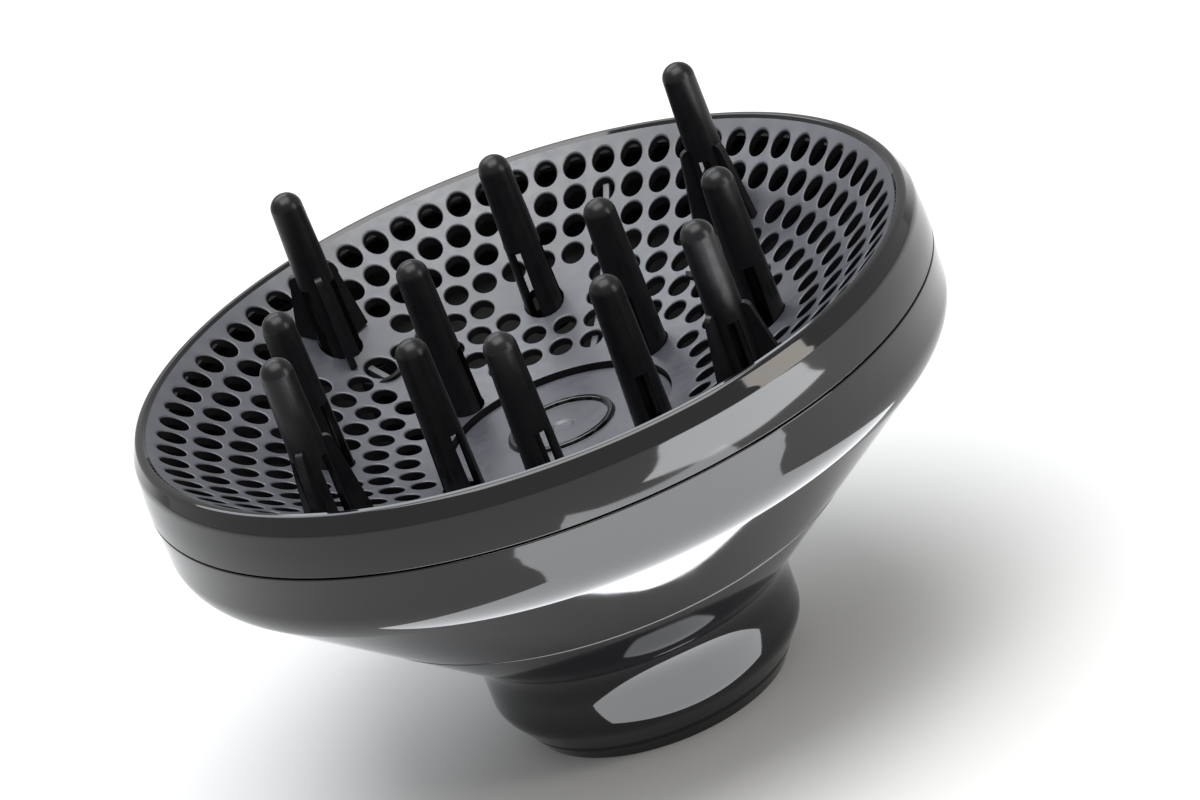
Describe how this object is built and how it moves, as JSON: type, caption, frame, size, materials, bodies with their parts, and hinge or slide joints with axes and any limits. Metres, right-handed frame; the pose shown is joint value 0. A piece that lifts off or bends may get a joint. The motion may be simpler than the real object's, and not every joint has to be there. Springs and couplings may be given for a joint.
{
  "type": "hair dryer diffuser attachment",
  "caption": "Flared bowl-shaped diffuser attachment for a hair dryer: neck socket, conical housing, perforated dish and rounded fingers.",
  "frame": {"origin": "centre of the neck's open end, on the plane that the neck stands on", "axes": "+Z along the axis of the diffuser, from the neck towards the open dish; +X and +Y each run through an inner finger, a screw and an outer finger"},
  "size_m": [0.156, 0.156, 0.1052],
  "materials": {
    "satin_grille": "fine satin texture",
    "gloss_black": "polished piano black",
    "satin_black": "semi-gloss",
    "sleeve_rubber": "matte",
    "screw_steel": "bright"
  },
  "bodies": {
    "root": {"front_grille": "satin_grille", "centre_disc": "satin_grille", "rear_housing": "gloss_black", "neck_collar": "gloss_black", "grip_sleeve": "sleeve_rubber", "finger_inner_1": "satin_black", "finger_inner_2": "satin_black", "finger_inner_3": "satin_black", "finger_inner_4": "satin_black", "finger_middle_1": "satin_black", "finger_middle_2": "satin_black", "finger_middle_3": "satin_black", "finger_middle_4": "satin_black", "finger_outer_1": "satin_black", "finger_outer_2": "satin_black", "finger_outer_3": "satin_black", "finger_outer_4": "satin_black", "screw_1": "screw_steel", "screw_2": "screw_steel", "screw_3": "screw_steel", "screw_4": "screw_steel"}
  },
  "joints": []
}
